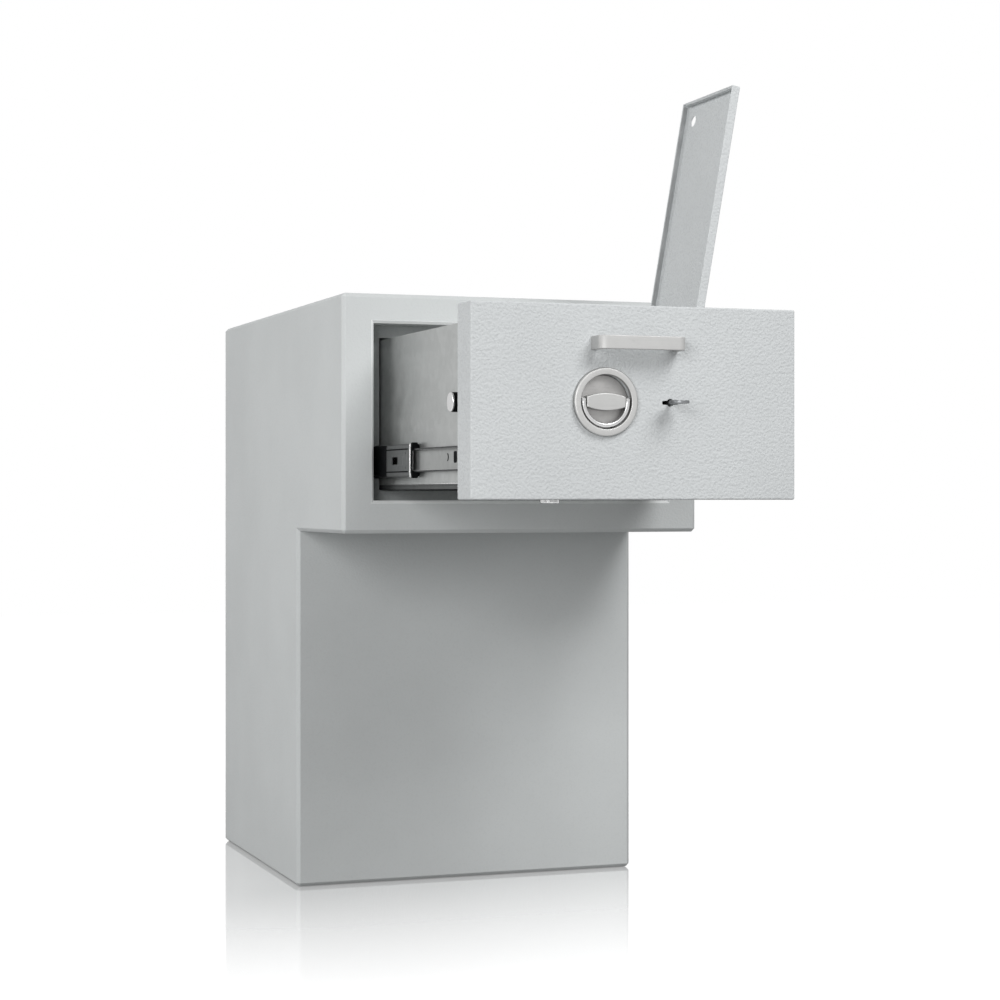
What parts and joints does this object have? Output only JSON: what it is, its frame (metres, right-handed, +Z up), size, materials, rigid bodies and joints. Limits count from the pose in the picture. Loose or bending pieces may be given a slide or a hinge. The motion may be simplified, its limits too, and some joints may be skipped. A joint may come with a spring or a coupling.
{
  "type": "drop safe with deposit drawer",
  "caption": "L-shaped steel drop safe whose overhanging housing carries a locking deposit drawer with a raised lid, over a vault with a rear door.",
  "frame": {"origin": "centre of the base plate's footprint, on the floor", "axes": "+Z up, +X to the right seen from the drawer's side, +Y from the drawer to the back"},
  "size_m": [0.436, 0.9723, 0.9166],
  "materials": {
    "body_paint": "light grey powder coat, fine orange peel",
    "front_paint": "light grey powder coat, fine structure",
    "zinc_sheet": "zinc-plated sheet",
    "satin_steel": "satin",
    "bright_steel": "bright nickel plate",
    "dark_steel": "oiled steel",
    "black_plastic": "moulded"
  },
  "bodies": {
    "carcass": {"side_plate_left": "body_paint", "side_plate_right": "body_paint", "top_plate": "body_paint", "housing_front": "body_paint", "housing_underside": "body_paint", "lower_front_plate": "body_paint", "base_plate": "body_paint", "back_plate": "body_paint", "strike_frame": "body_paint", "chamber_deck": "body_paint", "vault_baffle": "body_paint", "slide_outer_left": "zinc_sheet", "slide_outer_right": "zinc_sheet", "slide_bracket_left": "body_paint", "slide_bracket_right": "body_paint", "rear_door_frame": "body_paint", "rear_hinge_body_leaf": "satin_steel", "rear_hinge_pin": "bright_steel"},
    "mid_rail_left": {"slide_mid_left": "zinc_sheet", "slide_bumper_left": "black_plastic"},
    "mid_rail_right": {"slide_mid_right": "zinc_sheet", "slide_bumper_right": "black_plastic"},
    "drawer": {"slide_inner_left": "zinc_sheet", "slide_inner_right": "zinc_sheet", "drawer_front": "front_paint", "front_back_sheet": "front_paint", "pull_handle": "satin_steel", "pull_handle_screw_left": "bright_steel", "pull_handle_screw_right": "bright_steel", "rosette_ring": "satin_steel", "bolt_guide_left": "dark_steel", "bolt_guide_right": "dark_steel", "bolt_guide_bottom": "dark_steel", "lock_case": "dark_steel", "box_side_left": "zinc_sheet", "box_side_right": "zinc_sheet", "box_floor": "zinc_sheet", "mechanism_panel": "zinc_sheet", "box_back": "zinc_sheet", "box_deck": "zinc_sheet", "deposit_chute": "zinc_sheet", "flap_pin": "dark_steel", "lid_hinge_leaf": "zinc_sheet", "lid_hinge_pin": "bright_steel"},
    "lid": {"deposit_lid": "front_paint"},
    "turning_handle": {"turning_handle": "satin_steel", "handle_spindle": "dark_steel"},
    "bail": {"handle_bail": "bright_steel"},
    "left_bolt": {"bolt_left": "bright_steel"},
    "right_bolt": {"bolt_right": "bright_steel"},
    "bottom_bolt": {"bolt_bottom": "bright_steel"},
    "key": {"key": "bright_steel"},
    "lock_bolt": {"lock_bolt": "bright_steel"},
    "flap": {"deposit_flap": "zinc_sheet"},
    "rear_door": {"rear_door": "body_paint", "rear_door_cover": "zinc_sheet", "rear_key_plate": "satin_steel", "rear_hinge_door_leaf": "satin_steel"},
    "rear_handle": {"rear_handle": "satin_steel"},
    "rear_bolts": {"rear_bolts": "bright_steel"}
  },
  "joints": [
    {"name": "drawer_slide", "type": "slide", "parent": "carcass", "child": "drawer", "axis": [0, 1, 0], "range_m": [-0.023, 0.096]},
    {"name": "mid_rail_left_slide", "type": "slide", "parent": "carcass", "child": "mid_rail_left", "axis": [0, 1, 0], "range_m": [-0.0116, 0.0481]},
    {"name": "mid_rail_right_slide", "type": "slide", "parent": "carcass", "child": "mid_rail_right", "axis": [0, 1, 0], "range_m": [-0.0116, 0.0481]},
    {"name": "lid_hinge", "type": "hinge", "parent": "drawer", "child": "lid", "pos_m": [0.1177, -0.5558, 0.6493], "axis": [0, -1, 0], "range_deg": [0, 100]},
    {"name": "handle_turn", "type": "hinge", "parent": "drawer", "child": "turning_handle", "pos_m": [-0.0355, -0.719, 0.5667], "axis": [0, 1, 0], "range_deg": [0, 90]},
    {"name": "bail_fold", "type": "hinge", "parent": "turning_handle", "child": "bail", "pos_m": [-0.0355, -0.721, 0.5686], "axis": [-1, 0, 0], "range_deg": [0, 90]},
    {"name": "left_bolt_slide", "type": "slide", "parent": "drawer", "child": "left_bolt", "axis": [1, 0, 0], "range_m": [0, 0.0211]},
    {"name": "right_bolt_slide", "type": "slide", "parent": "drawer", "child": "right_bolt", "axis": [-1, 0, 0], "range_m": [0, 0.0211]},
    {"name": "bottom_bolt_slide", "type": "slide", "parent": "drawer", "child": "bottom_bolt", "axis": [0, 0, 1], "range_m": [0, 0.0211]},
    {"name": "key_turn", "type": "hinge", "parent": "drawer", "child": "key", "pos_m": [0.0369, -0.719, 0.5667], "axis": [0, 1, 0], "range_deg": [-90, 0]},
    {"name": "lock_bolt_slide", "type": "slide", "parent": "drawer", "child": "lock_bolt", "axis": [0, 0, 1], "range_m": [-0.00705, 0]},
    {"name": "flap_hinge", "type": "hinge", "parent": "drawer", "child": "flap", "pos_m": [0, -0.3252, 0.6417], "axis": [1, 0, 0], "range_deg": [0, 75]},
    {"name": "rear_door_hinge", "type": "hinge", "parent": "carcass", "child": "rear_door", "pos_m": [-0.16375, 0.2003, 0.225], "axis": [0, 0, 1], "range_deg": [0, 110]},
    {"name": "rear_handle_turn", "type": "hinge", "parent": "rear_door", "child": "rear_handle", "pos_m": [0.04, 0.194, 0.225], "axis": [0, -1, 0], "range_deg": [-90, 0]},
    {"name": "rear_bolts_slide", "type": "slide", "parent": "rear_door", "child": "rear_bolts", "axis": [-1, 0, 0], "range_m": [-0.0181, 0]}
  ],
  "couplings": [
    {"joint": "mid_rail_left_slide", "follows": "drawer_slide", "ratio": 0.5},
    {"joint": "mid_rail_right_slide", "follows": "drawer_slide", "ratio": 0.5},
    {"joint": "left_bolt_slide", "follows": "handle_turn", "m_per_rad": 0.013369},
    {"joint": "right_bolt_slide", "follows": "handle_turn", "m_per_rad": 0.013369},
    {"joint": "bottom_bolt_slide", "follows": "handle_turn", "m_per_rad": 0.013369},
    {"joint": "lock_bolt_slide", "follows": "key_turn", "m_per_rad": 0.0044563},
    {"joint": "rear_bolts_slide", "follows": "rear_handle_turn", "m_per_rad": 0.011459}
  ]
}
